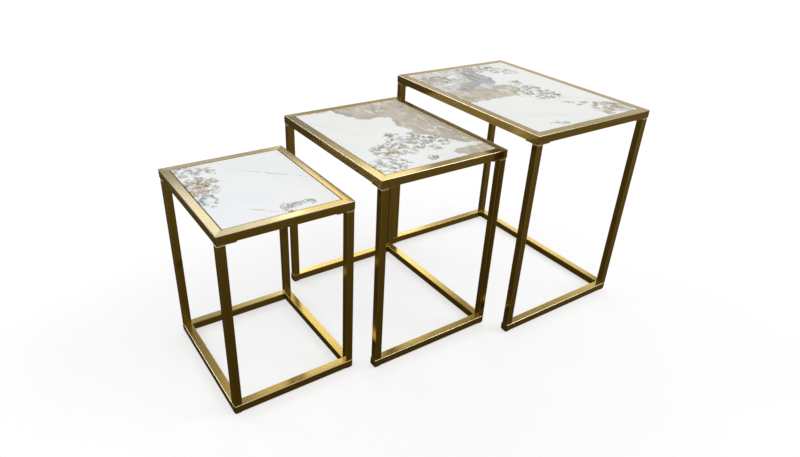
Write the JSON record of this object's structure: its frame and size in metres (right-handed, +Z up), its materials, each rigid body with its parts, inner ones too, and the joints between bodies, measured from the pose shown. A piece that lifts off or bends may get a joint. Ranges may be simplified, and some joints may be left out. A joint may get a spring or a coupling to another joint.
{
  "type": "nesting tables",
  "caption": "Nest of side tables with pale stone tops set in brushed gold square-tube frames; each smaller table slides under the next through its open base.",
  "frame": {"origin": "on the floor, at the middle of the row's footprint with the tables pulled out", "axes": "+X from the smallest table to the largest, the way each table slides home; +Y from the front to the back; +Z up"},
  "size_m": [1.113, 0.55, 0.55],
  "materials": {
    "gold_steel": "satin",
    "ledge_steel": "satin",
    "stone": "satin",
    "glide_plastic": "matte"
  },
  "bodies": {
    "large_table": {"large_base_rail_back": "gold_steel", "large_base_rail_front": "gold_steel", "large_base_rail_right": "gold_steel", "large_end_cap_back": "gold_steel", "large_end_cap_front": "gold_steel", "large_glide_back_left": "glide_plastic", "large_glide_back_right": "glide_plastic", "large_glide_front_left": "glide_plastic", "large_glide_front_right": "glide_plastic", "large_ledge_left": "ledge_steel", "large_ledge_right": "ledge_steel", "large_leg_back_left": "gold_steel", "large_leg_back_right": "gold_steel", "large_leg_front_left": "gold_steel", "large_leg_front_right": "gold_steel", "large_stone_top": "stone", "large_top_rail_back": "gold_steel", "large_top_rail_front": "gold_steel", "large_top_rail_left": "gold_steel", "large_top_rail_right": "gold_steel"},
    "medium_table": {"medium_base_rail_back": "gold_steel", "medium_base_rail_front": "gold_steel", "medium_base_rail_right": "gold_steel", "medium_end_cap_back": "gold_steel", "medium_end_cap_front": "gold_steel", "medium_glide_back_left": "glide_plastic", "medium_glide_back_right": "glide_plastic", "medium_glide_front_left": "glide_plastic", "medium_glide_front_right": "glide_plastic", "medium_ledge_left": "ledge_steel", "medium_ledge_right": "ledge_steel", "medium_leg_back_left": "gold_steel", "medium_leg_back_right": "gold_steel", "medium_leg_front_left": "gold_steel", "medium_leg_front_right": "gold_steel", "medium_stone_top": "stone", "medium_top_rail_back": "gold_steel", "medium_top_rail_front": "gold_steel", "medium_top_rail_left": "gold_steel", "medium_top_rail_right": "gold_steel"},
    "small_table": {"small_base_rail_back": "gold_steel", "small_base_rail_front": "gold_steel", "small_base_rail_left": "gold_steel", "small_base_rail_right": "gold_steel", "small_glide_back_left": "glide_plastic", "small_glide_back_right": "glide_plastic", "small_glide_front_left": "glide_plastic", "small_glide_front_right": "glide_plastic", "small_ledge_left": "ledge_steel", "small_ledge_right": "ledge_steel", "small_leg_back_left": "gold_steel", "small_leg_back_right": "gold_steel", "small_leg_front_left": "gold_steel", "small_leg_front_right": "gold_steel", "small_stone_top": "stone", "small_top_rail_back": "gold_steel", "small_top_rail_front": "gold_steel", "small_top_rail_left": "gold_steel", "small_top_rail_right": "gold_steel"}
  },
  "joints": [
    {"name": "medium_table_slide", "type": "slide", "parent": "large_table", "child": "medium_table", "axis": [0.9992, -0.04, 0], "range_m": [0, 0.4003]},
    {"name": "small_table_slide", "type": "slide", "parent": "medium_table", "child": "small_table", "axis": [0.9991, 0.0433, 0], "range_m": [0, 0.3693]}
  ]
}
